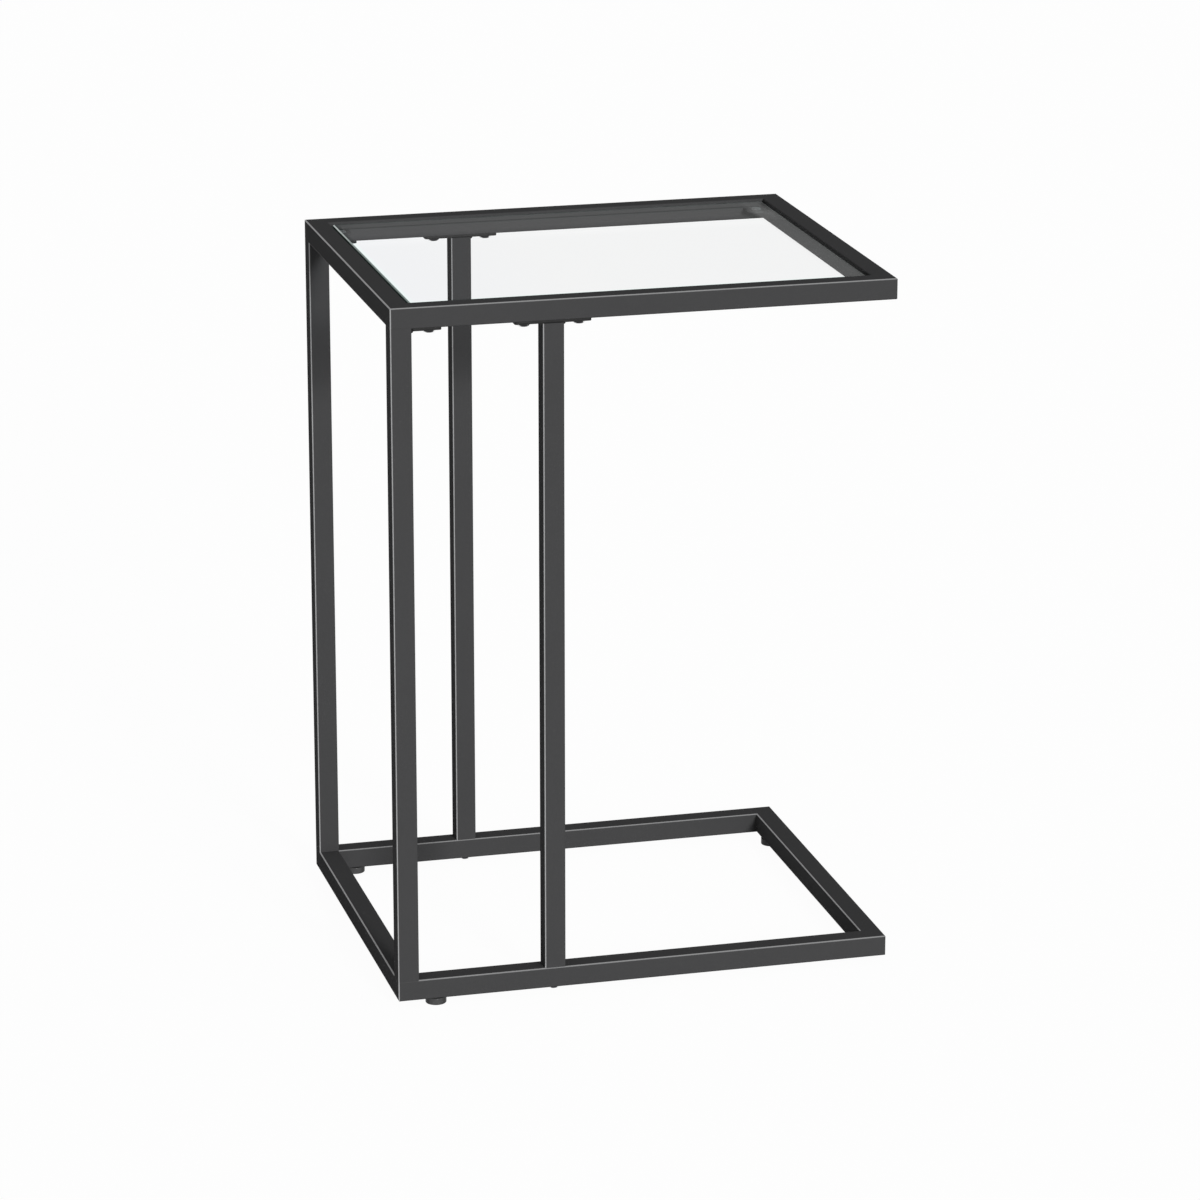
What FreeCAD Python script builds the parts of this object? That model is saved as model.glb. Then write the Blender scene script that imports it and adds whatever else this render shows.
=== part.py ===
import FreeCAD, Part
import math
import os

import Sketcher

# C-shaped side table: a glass-topped frame and an open floor frame, both of mitred
# square steel tube, joined along the left side by two corner posts and two centre
# posts.  The right side stays open, so that the floor frame slides under a sofa.
#
# Millimetres, +Z up.  The origin is on the floor under the middle of the table,
# -Y is the front and -X is the side that carries the posts.

Vector = FreeCAD.Vector
X_AXIS = Vector(1, 0, 0)
Z_AXIS = Vector(0, 0, 1)

DRIVING_SIZES = {
    # overall
    "overall_length": 480,
    "overall_depth": 390,
    "overall_height": 675,
    # square steel tube of all rails and posts
    "tube_size": 20,
    "tube_wall": 1.2,
    "tube_corner_radius": 1.5,
    # posts, from the left outer face to the axis of the centre posts
    "centre_post_position": 152,
    # how far the ends of a corner post reach over the rounded edges of the rails
    "post_cope_depth": 1,
    # steel plates under the top frame
    "plate_thickness": 2.5,
    "plate_width": 18,
    "plate_end_margin": 10,
    "plate_corner_radius": 2,
    "centre_bolt_offset": 26,
    "corner_bolt_offset": 28,
    # button-head bolts
    "bolt_diameter": 6,
    "bolt_hole_clearance": 0.3,
    "bolt_head_diameter": 12,
    "bolt_head_height": 3.2,
    "bolt_head_rounding": 2.2,
    "bolt_tip_chamfer": 0.8,
    "socket_width": 4,
    "socket_depth": 2,
    "top_bolt_reach": 11,
    "base_bolt_grip": 9,
    # rivet nuts, set flush into the tube walls
    "nut_barrel_diameter": 9,
    "nut_flange_diameter": 10.5,
    "nut_flange_thickness": 0.5,
    "nut_crimp_diameter": 12,
    "nut_crimp_height": 2,
    "nut_length": 12,
    # threaded plugs in the lower ends of the centre posts
    "plug_height": 12,
    "plug_clearance": 0.1,
    "plug_corner_chamfer": 1,
    # levelling feet
    "foot_height": 7,
    "foot_diameter": 20,
    "foot_edge_rounding": 1.8,
    "foot_clearance": 0.3,
    "foot_setback": 38,
    "stud_clearance": 0.1,
    "stud_reach": 14,
    "stud_embedment": 4.5,
    # glass panel and what carries it
    "glass_thickness": 5,
    "glass_edge_gap": 2.5,
    "glass_recess": 1.5,
    "glass_corner_radius": 3,
    "glass_edge_chamfer": 1.2,
    "glass_seat_clearance": 0.3,
    "bumper_diameter": 10,
    "bumper_height": 1.5,
    "bumper_rounding": 0.8,
    "bumper_inset": 10,
    "support_size": 20,
    "support_thickness": 2,
    "support_corner_cut": 6,
    # how far cutting outlines run past the metal they cut
    "overcut": 1,
}


class Size:
    """A length that carries its number and its spreadsheet formula together."""

    def __init__(self, value, formula):
        self.value = value
        self.formula = formula

    def join(self, other, sign, result):
        right = other.formula if isinstance(other, Size) else str(other)
        return Size(result, "(%s %s %s)" % (self.formula, sign, right))

    def __add__(self, other):
        return self.join(other, "+", self.value + number(other))

    def __sub__(self, other):
        return self.join(other, "-", self.value - number(other))

    def __mul__(self, factor):
        return self.join(factor, "*", self.value * factor)

    def __truediv__(self, divisor):
        return self.join(divisor, "/", self.value / divisor)

    def __neg__(self):
        return Size(-self.value, "(-1 * %s)" % self.formula)


def number(length):
    """The plain number of a Size or of a number."""
    return length.value if isinstance(length, Size) else length


def bind(target, prop, length):
    """Ties a property of a document object to the sheet."""
    if isinstance(length, Size):
        target.setExpression(prop, length.formula)
    else:
        setattr(target, prop, length)


doc = FreeCAD.newDocument("c_shaped_side_table")
sheet = doc.addObject("Spreadsheet::Sheet", "sizes")
for row, (alias, millimetres) in enumerate(DRIVING_SIZES.items(), start=1):
    sheet.set("A%d" % row, alias)
    sheet.set("B%d" % row, str(millimetres))
    sheet.setAlias("B%d" % row, alias)
doc.recompute()


def size(alias):
    """A driving dimension, read from the sheet."""
    return Size(float(sheet.get(alias)), "sizes." + alias)


length = size("overall_length")
depth = size("overall_depth")
height = size("overall_height")
tube = size("tube_size")
wall = size("tube_wall")
tube_radius = size("tube_corner_radius")
plate_thickness = size("plate_thickness")
plate_margin = size("plate_end_margin")
bolt_radius = size("bolt_diameter") / 2
foot_height = size("foot_height")
overcut = size("overcut")

half_length = length / 2
half_depth = depth / 2
bore = tube - wall * 2
base_top = foot_height + tube
top_underside = height - tube

corner_post_x = tube / 2 - half_length
centre_post_x = size("centre_post_position") - half_length
rail_axis_y = half_depth - tube / 2
corner_bolt_x = corner_post_x + size("corner_bolt_offset")
centre_bolt_left_x = centre_post_x - size("centre_bolt_offset")
centre_bolt_right_x = centre_post_x + size("centre_bolt_offset")
left_foot_x = size("foot_setback") - half_length
right_foot_x = half_length - tube / 2
right_foot_y = half_depth - size("foot_setback")

nodes = []


# ---------------------------------------------------------------- modelling helpers


def new_body(name):
    """A named PartDesign body that becomes one node."""
    body = doc.addObject("PartDesign::Body", name)
    body.Label = name
    nodes.append(body)
    return body


def place(item, x=None, y=None, z=None, turn=0):
    """Moves a piece to its place and turns it about the vertical, in degrees."""
    item.Placement = FreeCAD.Placement(Vector(0, 0, 0), FreeCAD.Rotation(Z_AXIS, turn))
    for axis, position in (("x", x), ("y", y), ("z", z)):
        if position is not None:
            item.setExpression("Placement.Base." + axis, position.formula)


def attach(item, body, role):
    """Lays a sketch or solid on one of the body's own origin planes."""
    plane = [feature for feature in body.Origin.OriginFeatures if feature.Role == role][0]
    item.AttachmentSupport = [(plane, "")]
    item.MapMode = "FlatFace"


def new_sketch(body, name, role):
    """A sketch on one of the body's own origin planes."""
    sketch = body.newObject("Sketcher::SketchObject", name)
    attach(sketch, body, role)
    return sketch


def pin_point(sketch, geometry, position, x, y):
    """Ties one point of a sketch to its two coordinates."""
    for direction, axis, distance in (("DistanceX", -2, x), ("DistanceY", -1, y)):
        if number(distance) == 0:
            sketch.addConstraint(Sketcher.Constraint("PointOnObject", geometry, position, axis))
        else:
            rule = Sketcher.Constraint(direction, -1, 1, geometry, position, number(distance))
            index = sketch.addConstraint(rule)
            if isinstance(distance, Size):
                sketch.setExpression("Constraints[%d]" % index, distance.formula)


def draw_outline(sketch, points):
    """A closed outline of straight lines through points given as (x, y)."""
    first = sketch.GeometryCount
    count = len(points)
    corners = [Vector(number(x), number(y), 0) for x, y in points]
    for index in range(count):
        line = Part.LineSegment(corners[index], corners[(index + 1) % count])
        sketch.addGeometry(line, False)
    for index in range(count):
        following = first + (index + 1) % count
        sketch.addConstraint(Sketcher.Constraint("Coincident", first + index, 2, following, 1))
        pin_point(sketch, first + index, 1, *points[index])


def draw_rectangle(sketch, low_x, low_y, high_x, high_y):
    """A rectangle between two opposite corners."""
    draw_outline(sketch, [(low_x, low_y), (high_x, low_y), (high_x, high_y), (low_x, high_y)])


def draw_circle(sketch, x, y, radius):
    """A circle tied to its centre and radius."""
    circle = Part.Circle(Vector(number(x), number(y), 0), Z_AXIS, number(radius))
    geometry = sketch.addGeometry(circle, False)
    pin_point(sketch, geometry, 3, x, y)
    index = sketch.addConstraint(Sketcher.Constraint("Radius", geometry, number(radius)))
    sketch.setExpression("Constraints[%d]" % index, radius.formula)


def pad(body, name, sketch, distance, midplane=False, downwards=False):
    """Extrudes a sketch."""
    feature = body.newObject("PartDesign::Pad", name)
    feature.Profile = sketch
    feature.Midplane = midplane
    feature.Reversed = downwards
    bind(feature, "Length", distance)
    return feature


def pocket(body, name, sketch, distance):
    """Cuts a sketch along its normal and makes sure that material went away."""
    doc.recompute()
    before = body.Shape.Volume
    feature = body.newObject("PartDesign::Pocket", name)
    feature.Profile = sketch
    feature.Reversed = True
    bind(feature, "Length", distance)
    doc.recompute()
    if body.Shape.Volume >= before:
        raise RuntimeError("%s cuts nothing from %s" % (name, body.Label))
    return feature


def revolve(body, name, sketch):
    """Turns a half section, drawn on XZ, about the Z axis."""
    feature = body.newObject("PartDesign::Revolution", name)
    feature.Profile = sketch
    feature.ReferenceAxis = (sketch, ["V_Axis"])
    feature.Angle = 360
    return feature


def dress(body, kind, name, base, picks, prop, amount):
    """Adds a Fillet or Chamfer on the named edges or faces of the last feature."""
    feature = body.newObject("PartDesign::" + kind, name)
    feature.Base = (base, picks)
    bind(feature, prop, amount)
    return feature


def edges_at(feature, test):
    """Names of the edges whose middle and direction pass the test."""
    doc.recompute()
    picks = []
    for index, edge in enumerate(feature.Shape.Edges, start=1):
        middle = edge.valueAt((edge.FirstParameter + edge.LastParameter) / 2)
        if test(edge, middle):
            picks.append("Edge%d" % index)
    return picks


def corner_edges(feature, axis, keep=lambda middle: True):
    """Names of the straight edges along an axis at the corners of the outer box."""
    doc.recompute()
    box = feature.Shape.BoundBox
    limits = ((box.XMin, box.XMax), (box.YMin, box.YMax), (box.ZMin, box.ZMax))

    def on_corner(edge, middle):
        if not isinstance(edge.Curve, Part.Line):
            return False
        along = edge.Curve.Direction.cross(axis).Length < 1e-6
        faces = sum(
            min(abs(middle[i] - low), abs(middle[i] - high)) < 1e-6
            for i, (low, high) in enumerate(limits)
        )
        return along and faces >= 2 and keep(middle)

    return edges_at(feature, on_corner)


def rim_edges(feature, level, radius):
    """Names of the circular edges at one height with one radius."""

    def on_rim(edge, middle):
        if not isinstance(edge.Curve, Part.Circle):
            return False
        return abs(middle.z - level) < 1e-4 and abs(edge.Curve.Radius - radius) < 1e-4

    return edges_at(feature, on_rim)


# ---------------------------------------------------------------- rails and posts


def draw_tip_waste(sketch, end, inwards):
    """What is cut off a mitre's sharp tip, so that two rails meet in a rounded corner."""
    first = sketch.GeometryCount
    centre = end + tube_radius * inwards
    outside = end - overcut * inwards
    seam = tube_radius * (1 - math.sqrt(0.5))
    middle = Vector(centre.value, tube_radius.value, 0)
    circle = Part.Circle(middle, Z_AXIS, tube_radius.value)
    if inwards > 0:
        arc = Part.ArcOfCircle(circle, math.radians(225), math.radians(270))
        at_seam, at_side = 1, 2
    else:
        arc = Part.ArcOfCircle(circle, math.radians(270), math.radians(315))
        at_seam, at_side = 2, 1
    seam_x = end + seam * inwards
    corners = [(seam_x, seam), (outside, seam), (outside, -overcut), (centre, -overcut), (centre, 0)]
    spots = [Vector(number(x), number(y), 0) for x, y in corners]
    for start, finish in zip(spots, spots[1:]):
        sketch.addGeometry(Part.LineSegment(start, finish), False)
    sketch.addGeometry(arc, False)
    rounding = first + 4
    for index in range(3):
        link = Sketcher.Constraint("Coincident", first + index, 2, first + index + 1, 1)
        sketch.addConstraint(link)
    sketch.addConstraint(Sketcher.Constraint("Coincident", first, 1, rounding, at_seam))
    sketch.addConstraint(Sketcher.Constraint("Coincident", first + 3, 2, rounding, at_side))
    sketch.addConstraint(Sketcher.Constraint("Horizontal", first))
    sketch.addConstraint(Sketcher.Constraint("Vertical", first + 3))
    for index in range(1, 4):
        pin_point(sketch, first + index, 1, *corners[index])
    pin_point(sketch, rounding, 3, centre, tube_radius)
    radius = sketch.addConstraint(Sketcher.Constraint("Radius", rounding, tube_radius.value))
    sketch.setExpression("Constraints[%d]" % radius, tube_radius.formula)


def make_rail(name, rail_length, nut_positions=(), bolt_positions=()):
    """A hollow rail with mitred ends, its middle at the origin and along X."""
    body = new_body(name)
    section = new_sketch(body, name + "_section", "YZ_Plane")
    draw_rectangle(section, 0, 0, tube, tube)
    draw_rectangle(section, wall, wall, tube - wall, tube - wall)
    stock = pad(body, name + "_stock", section, rail_length, midplane=True)
    edges = corner_edges(stock, X_AXIS)
    dress(body, "Fillet", name + "_edges", stock, edges, "Radius", tube_radius)

    mitres = new_sketch(body, name + "_mitres", "XY_Plane")
    near = -overcut
    far = tube + overcut
    left_tip = -(rail_length / 2) - overcut
    left_heel = tube + overcut - rail_length / 2
    draw_outline(mitres, [(left_tip, near), (left_heel, far), (left_tip, far)])
    draw_outline(mitres, [(-left_tip, near), (-left_tip, far), (-left_heel, far)])
    pocket(body, name + "_mitre_cuts", mitres, tube)

    tips = new_sketch(body, name + "_tips", "XY_Plane")
    draw_tip_waste(tips, -(rail_length / 2), 1)
    draw_tip_waste(tips, rail_length / 2, -1)
    pocket(body, name + "_tip_rounding", tips, tube)

    middle = tube / 2
    if nut_positions:
        seats = new_sketch(body, name + "_nut_seats", "XY_Plane")
        holes = new_sketch(body, name + "_nut_holes", "XY_Plane")
        for position in nut_positions:
            draw_circle(seats, position, middle, size("nut_flange_diameter") / 2)
            draw_circle(holes, position, middle, size("nut_barrel_diameter") / 2)
        pocket(body, name + "_nut_seat_cuts", seats, size("nut_flange_thickness"))
        pocket(body, name + "_nut_hole_cuts", holes, wall)
    if bolt_positions:
        holes = new_sketch(body, name + "_bolt_holes", "XY_Plane")
        for position in bolt_positions:
            draw_circle(holes, position, middle, bolt_radius + size("bolt_hole_clearance"))
        pocket(body, name + "_bolt_hole_cuts", holes, tube)
    return body


def make_frame(prefix, level, front_nuts, front_bolts=(), side_nuts=()):
    """Four mitred rails around a rectangle; the rear rail mirrors the front one."""
    rear_nuts = [-position for position in front_nuts]
    rear_bolts = [-position for position in front_bolts]
    front = make_rail(prefix + "_rail_front", length, front_nuts, front_bolts)
    place(front, y=-half_depth, z=level)
    rear = make_rail(prefix + "_rail_rear", length, rear_nuts, rear_bolts)
    place(rear, y=half_depth, z=level, turn=180)
    left = make_rail(prefix + "_rail_left", depth)
    place(left, x=-half_length, z=level, turn=-90)
    right = make_rail(prefix + "_rail_right", depth, side_nuts)
    place(right, x=half_length, z=level, turn=90)
    return {"front": front, "rear": rear, "left": left}


def make_post(name, post_length, x, y, foot=base_top):
    """An upright tube that stands on the base frame."""
    body = new_body(name)
    outer = tube / 2
    inner = outer - wall
    section = new_sketch(body, name + "_section", "XY_Plane")
    draw_rectangle(section, -outer, -outer, outer, outer)
    draw_rectangle(section, -inner, -inner, inner, inner)
    stock = pad(body, name + "_stock", section, post_length)
    edges = corner_edges(stock, Z_AXIS)
    dress(body, "Fillet", name + "_edges", stock, edges, "Radius", tube_radius)
    place(body, x=x, y=y, z=foot)
    return body


def make_coped_post(name, x, y, rails):
    """A corner post, both ends shaped to lie over the rounded edges of the rails."""
    cope = size("post_cope_depth")
    stock_length = top_underside - base_top + cope * 2
    stock = make_post(name + "_stock", stock_length, x, y, foot=base_top - cope)
    nodes.remove(stock)
    shaped = stock
    for index, rail in enumerate(rails, start=1):
        doc.recompute()
        before = shaped.Shape.Volume
        cut = doc.addObject("Part::Cut", "%s_cope_%d" % (name, index))
        cut.Base = shaped
        cut.Tool = rail
        doc.recompute()
        if cut.Shape.Volume >= before:
            raise RuntimeError("%s takes nothing off %s" % (rail.Label, name))
        shaped = cut
    shaped.Label = name
    nodes.append(shaped)


# ---------------------------------------------------------------- plates, bolts, nuts


def make_plate(name, low_x, high_x, hole_positions, round_left, x, y):
    """A flat steel strip with bolt holes, its top face on z = 0."""
    body = new_body(name)
    half_width = size("plate_width") / 2
    outline = new_sketch(body, name + "_outline", "XY_Plane")
    draw_rectangle(outline, low_x, -half_width, high_x, half_width)
    for position in hole_positions:
        draw_circle(outline, position, 0, bolt_radius + size("bolt_hole_clearance"))
    strip = pad(body, name + "_strip", outline, plate_thickness, downwards=True)
    middle_x = number(low_x + high_x) / 2
    edges = corner_edges(strip, Z_AXIS, lambda middle: round_left or middle.x > middle_x)
    dress(body, "Fillet", name + "_corners", strip, edges, "Radius", size("plate_corner_radius"))
    place(body, x=x, y=y, z=top_underside)


def make_bolt(name, shank_length):
    """A button-head bolt with a hexagon socket: head below z = 0, shank above."""
    body = new_body(name)
    head_radius = size("bolt_head_diameter") / 2
    head_height = size("bolt_head_height")
    head_circle = new_sketch(body, name + "_head_circle", "XY_Plane")
    draw_circle(head_circle, 0, 0, head_radius)
    pad(body, name + "_head", head_circle, head_height, downwards=True)
    shank_circle = new_sketch(body, name + "_shank_circle", "XY_Plane")
    draw_circle(shank_circle, 0, 0, bolt_radius)
    shank = pad(body, name + "_shank", shank_circle, shank_length)
    rim = rim_edges(shank, -head_height.value, head_radius.value)
    dome = dress(body, "Fillet", name + "_dome", shank, rim, "Radius", size("bolt_head_rounding"))
    tip = rim_edges(dome, shank_length.value, bolt_radius.value)
    dress(body, "Chamfer", name + "_tip", dome, tip, "Size", size("bolt_tip_chamfer"))
    doc.recompute()
    before = body.Shape.Volume
    socket = body.newObject("PartDesign::SubtractivePrism", name + "_socket")
    attach(socket, body, "XY_Plane")
    socket.Polygon = 6
    socket.setExpression("Circumradius", "sizes.socket_width / 2 / cos(30)")
    bind(socket, "Height", size("socket_depth"))
    socket.setExpression("AttachmentOffset.Base.z", (-head_height).formula)
    doc.recompute()
    if body.Shape.Volume >= before:
        raise RuntimeError("the socket cuts nothing from " + name)
    return body


def make_rivet_nut(name):
    """A rivet nut, its flange flush with z = 0 and its crimp above the tube wall."""
    body = new_body(name)
    flange_radius = size("nut_flange_diameter") / 2
    barrel_radius = size("nut_barrel_diameter") / 2
    crimp_radius = size("nut_crimp_diameter") / 2
    crimp_middle = wall + size("nut_crimp_height") / 2
    crimp_top = wall + size("nut_crimp_height")
    nut_top = size("nut_length")
    section = new_sketch(body, name + "_section", "XZ_Plane")
    draw_outline(section, [
        (bolt_radius, 0),
        (flange_radius, 0),
        (flange_radius, size("nut_flange_thickness")),
        (barrel_radius, size("nut_flange_thickness")),
        (barrel_radius, wall),
        (crimp_radius, wall),
        (crimp_radius, crimp_middle),
        (barrel_radius, crimp_top),
        (barrel_radius, nut_top),
        (bolt_radius, nut_top),
    ])
    revolve(body, name + "_turned", section)
    return body


def make_set(name, pattern, spots):
    """Identical fasteners in one node: copies of one pattern piece at (x, y, z)."""
    nodes.remove(pattern)
    copies = []
    for index, (x, y, z) in enumerate(spots, start=1):
        copy = doc.addObject("App::Link", "%s_copy_%d" % (name, index))
        copy.LinkedObject = pattern
        place(copy, x=x, y=y, z=z)
        copies.append(copy)
    group = doc.addObject("Part::Compound", name)
    group.Label = name
    group.Links = copies
    nodes.append(group)


def make_plug(name, x, y):
    """A square plug with a threaded hole, welded into the foot of a centre post."""
    body = new_body(name)
    half_side = bore / 2 - size("plug_clearance")
    outline = new_sketch(body, name + "_outline", "XY_Plane")
    draw_rectangle(outline, -half_side, -half_side, half_side, half_side)
    draw_circle(outline, 0, 0, bolt_radius)
    block = pad(body, name + "_block", outline, size("plug_height"))
    edges = corner_edges(block, Z_AXIS)
    dress(body, "Chamfer", name + "_corners", block, edges, "Size", size("plug_corner_chamfer"))
    place(body, x=x, y=y, z=base_top)


# ---------------------------------------------------------------- feet


def make_foot(corner, x, y):
    """A levelling foot: a moulded pad and the steel stud that is cast into it."""
    stud_radius = bolt_radius - size("stud_clearance")
    pad_radius = size("foot_diameter") / 2
    pad_top = foot_height - size("foot_clearance")
    stud_bottom = pad_top - size("stud_embedment")

    moulding = new_body("foot_pad_" + corner)
    section = new_sketch(moulding, "foot_pad_%s_section" % corner, "XZ_Plane")
    draw_outline(section, [
        (0, 0),
        (pad_radius, 0),
        (pad_radius, pad_top),
        (stud_radius, pad_top),
        (stud_radius, stud_bottom),
        (0, stud_bottom),
    ])
    turned = revolve(moulding, "foot_pad_%s_turned" % corner, section)
    doc.recompute()
    rim = rim_edges(turned, 0, pad_radius.value)
    rounding = size("foot_edge_rounding")
    dress(moulding, "Fillet", "foot_pad_%s_edge" % corner, turned, rim, "Radius", rounding)
    place(moulding, x=x, y=y)

    stud = new_body("foot_stud_" + corner)
    circle = new_sketch(stud, "foot_stud_%s_circle" % corner, "XY_Plane")
    draw_circle(circle, 0, 0, stud_radius)
    stud_length = size("stud_embedment") + size("foot_clearance") + size("stud_reach")
    rod = pad(stud, "foot_stud_%s_rod" % corner, circle, stud_length)
    tip = rim_edges(rod, stud_length.value, stud_radius.value)
    chamfer = size("bolt_tip_chamfer")
    dress(stud, "Chamfer", "foot_stud_%s_tip" % corner, rod, tip, "Size", chamfer)
    place(stud, x=x, y=y, z=stud_bottom)


# ---------------------------------------------------------------- glass and its seats


def make_glass():
    """The tempered glass panel, flush inside the top frame."""
    body = new_body("glass_top")
    half_x = half_length - tube - size("glass_edge_gap")
    half_y = half_depth - tube - size("glass_edge_gap")
    outline = new_sketch(body, "glass_outline", "XY_Plane")
    draw_rectangle(outline, -half_x, -half_y, half_x, half_y)
    sheet_glass = pad(body, "glass_sheet", outline, size("glass_thickness"), downwards=True)
    edges = corner_edges(sheet_glass, Z_AXIS)
    radius = size("glass_corner_radius")
    rounded = dress(body, "Fillet", "glass_corners", sheet_glass, edges, "Radius", radius)
    doc.recompute()
    faces = [
        "Face%d" % index
        for index, face in enumerate(rounded.Shape.Faces, start=1)
        if isinstance(face.Surface, Part.Plane) and abs(face.Surface.Axis.z) > 0.999
    ]
    bevel = size("glass_edge_chamfer")
    dress(body, "Chamfer", "glass_arrises", rounded, faces, "Size", bevel)
    place(body, z=height - size("glass_recess"))


def make_support(corner, x, y, turn):
    """A small steel plate across an inner corner of the top frame."""
    body = new_body("glass_support_" + corner)
    side = size("support_size")
    cut = side - size("support_corner_cut")
    outline = new_sketch(body, "glass_support_%s_outline" % corner, "XY_Plane")
    draw_outline(outline, [(0, 0), (side, 0), (side, cut), (cut, side), (0, side)])
    thickness = size("support_thickness")
    pad(body, "glass_support_%s_plate" % corner, outline, thickness, downwards=True)
    place(body, x=x, y=y, z=support_top, turn=turn)


def make_bumper(corner, x, y):
    """A clear stick-on bumper between a support and the glass."""
    body = new_body("glass_bumper_" + corner)
    radius = size("bumper_diameter") / 2
    thickness = size("bumper_height")
    circle = new_sketch(body, "glass_bumper_%s_circle" % corner, "XY_Plane")
    draw_circle(circle, 0, 0, radius)
    disc = pad(body, "glass_bumper_%s_disc" % corner, circle, thickness)
    rim = rim_edges(disc, thickness.value, radius.value)
    rounding = size("bumper_rounding")
    dress(body, "Fillet", "glass_bumper_%s_edge" % corner, disc, rim, "Radius", rounding)
    place(body, x=x, y=y, z=support_top)


# ---------------------------------------------------------------- the table

glass_underside = height - size("glass_recess") - size("glass_thickness")
support_top = glass_underside - size("glass_seat_clearance") - size("bumper_height")

top_rails = make_frame(
    "top",
    top_underside,
    front_nuts=[corner_bolt_x, centre_bolt_left_x, centre_bolt_right_x],
)
base_rails = make_frame(
    "base",
    foot_height,
    front_nuts=[left_foot_x],
    front_bolts=[centre_post_x],
    side_nuts=[right_foot_y, -right_foot_y],
)

post_length = top_underside - base_top
centre_plate_reach = size("centre_bolt_offset") + plate_margin
corner_tab_reach = size("corner_bolt_offset") + plate_margin
for side, y in (("front", -rail_axis_y), ("rear", rail_axis_y)):
    met = [base_rails[side], base_rails["left"], top_rails[side], top_rails["left"]]
    make_coped_post("corner_post_" + side, corner_post_x, y, met)
    make_post("centre_post_" + side, post_length - plate_thickness, centre_post_x, y)
    make_plate(
        "centre_plate_" + side,
        -centre_plate_reach,
        centre_plate_reach,
        [-size("centre_bolt_offset"), size("centre_bolt_offset")],
        True,
        centre_post_x,
        y,
    )
    make_plate(
        "corner_tab_" + side,
        tube / 2,
        corner_tab_reach,
        [size("corner_bolt_offset")],
        False,
        corner_post_x,
        y,
    )
    make_plug("post_plug_" + side, centre_post_x, y)

top_spots = [
    (x, y)
    for y in (-rail_axis_y, rail_axis_y)
    for x in (corner_bolt_x, centre_bolt_left_x, centre_bolt_right_x)
]
plate_underside = top_underside - plate_thickness
top_bolt = make_bolt("top_bolt_pattern", plate_thickness + size("top_bolt_reach"))
make_set("top_bolts", top_bolt, [(x, y, plate_underside) for x, y in top_spots])
top_nut = make_rivet_nut("top_nut_pattern")
make_set("top_rivet_nuts", top_nut, [(x, y, top_underside) for x, y in top_spots])

base_bolt = make_bolt("base_bolt_pattern", tube + size("base_bolt_grip"))
base_spots = [(centre_post_x, -rail_axis_y), (centre_post_x, rail_axis_y)]
make_set("base_bolts", base_bolt, [(x, y, foot_height) for x, y in base_spots])

foot_spots = {
    "front_left": (left_foot_x, -rail_axis_y),
    "rear_left": (left_foot_x, rail_axis_y),
    "front_right": (right_foot_x, -right_foot_y),
    "rear_right": (right_foot_x, right_foot_y),
}
foot_nut = make_rivet_nut("foot_nut_pattern")
make_set("foot_rivet_nuts", foot_nut, [(x, y, foot_height) for x, y in foot_spots.values()])
for corner, (x, y) in foot_spots.items():
    make_foot(corner, x, y)

make_glass()
inner_x = half_length - tube
inner_y = half_depth - tube
bumper_x = inner_x - size("bumper_inset")
bumper_y = inner_y - size("bumper_inset")
make_support("front_left", -inner_x, -inner_y, 0)
make_support("front_right", inner_x, -inner_y, 90)
make_support("rear_right", inner_x, inner_y, 180)
make_support("rear_left", -inner_x, inner_y, 270)
make_bumper("front_left", -bumper_x, -bumper_y)
make_bumper("front_right", bumper_x, -bumper_y)
make_bumper("rear_right", bumper_x, bumper_y)
make_bumper("rear_left", -bumper_x, bumper_y)

# ---------------------------------------------------------------- checks and files

doc.recompute()
for item in doc.Objects:
    if "Invalid" in item.State or "Error" in item.State:
        raise RuntimeError("%s failed: %s" % (item.Name, item.State))
for node in nodes:
    if node.Shape.isNull() or not node.Shape.isValid():
        raise RuntimeError(node.Label + " has no valid shape")

os.makedirs("parts", exist_ok=True)
for node in nodes:
    node.Shape.exportStep("parts/%s.step" % node.Label)
print("%d nodes written" % len(nodes))
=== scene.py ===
"""Dresses the C shaped side table: glass, screws, feet, welds, finishes, floor, light, camera."""

import math

import bmesh
import bpy
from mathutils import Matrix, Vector


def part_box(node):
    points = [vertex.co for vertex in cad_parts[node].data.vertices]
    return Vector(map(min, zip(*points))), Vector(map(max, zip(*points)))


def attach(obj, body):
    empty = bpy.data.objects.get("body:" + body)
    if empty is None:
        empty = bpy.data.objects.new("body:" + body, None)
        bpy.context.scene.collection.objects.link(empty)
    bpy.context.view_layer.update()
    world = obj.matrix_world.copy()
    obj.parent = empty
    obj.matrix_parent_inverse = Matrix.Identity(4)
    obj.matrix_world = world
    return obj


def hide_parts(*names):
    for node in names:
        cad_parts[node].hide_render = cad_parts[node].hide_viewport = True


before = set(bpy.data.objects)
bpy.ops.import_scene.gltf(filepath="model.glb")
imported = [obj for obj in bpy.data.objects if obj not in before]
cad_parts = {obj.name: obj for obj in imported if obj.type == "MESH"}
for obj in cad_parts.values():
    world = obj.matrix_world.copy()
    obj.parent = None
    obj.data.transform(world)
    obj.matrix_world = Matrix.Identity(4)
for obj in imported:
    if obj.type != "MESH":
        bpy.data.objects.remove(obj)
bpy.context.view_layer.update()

MM = 0.001
SAME_PLACE = 1e-7

ENDS = ("front", "rear")
CORNERS = ("front_left", "rear_left", "front_right", "rear_right")

# ---------------------------------------------------------------- sizes of the small pieces

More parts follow.
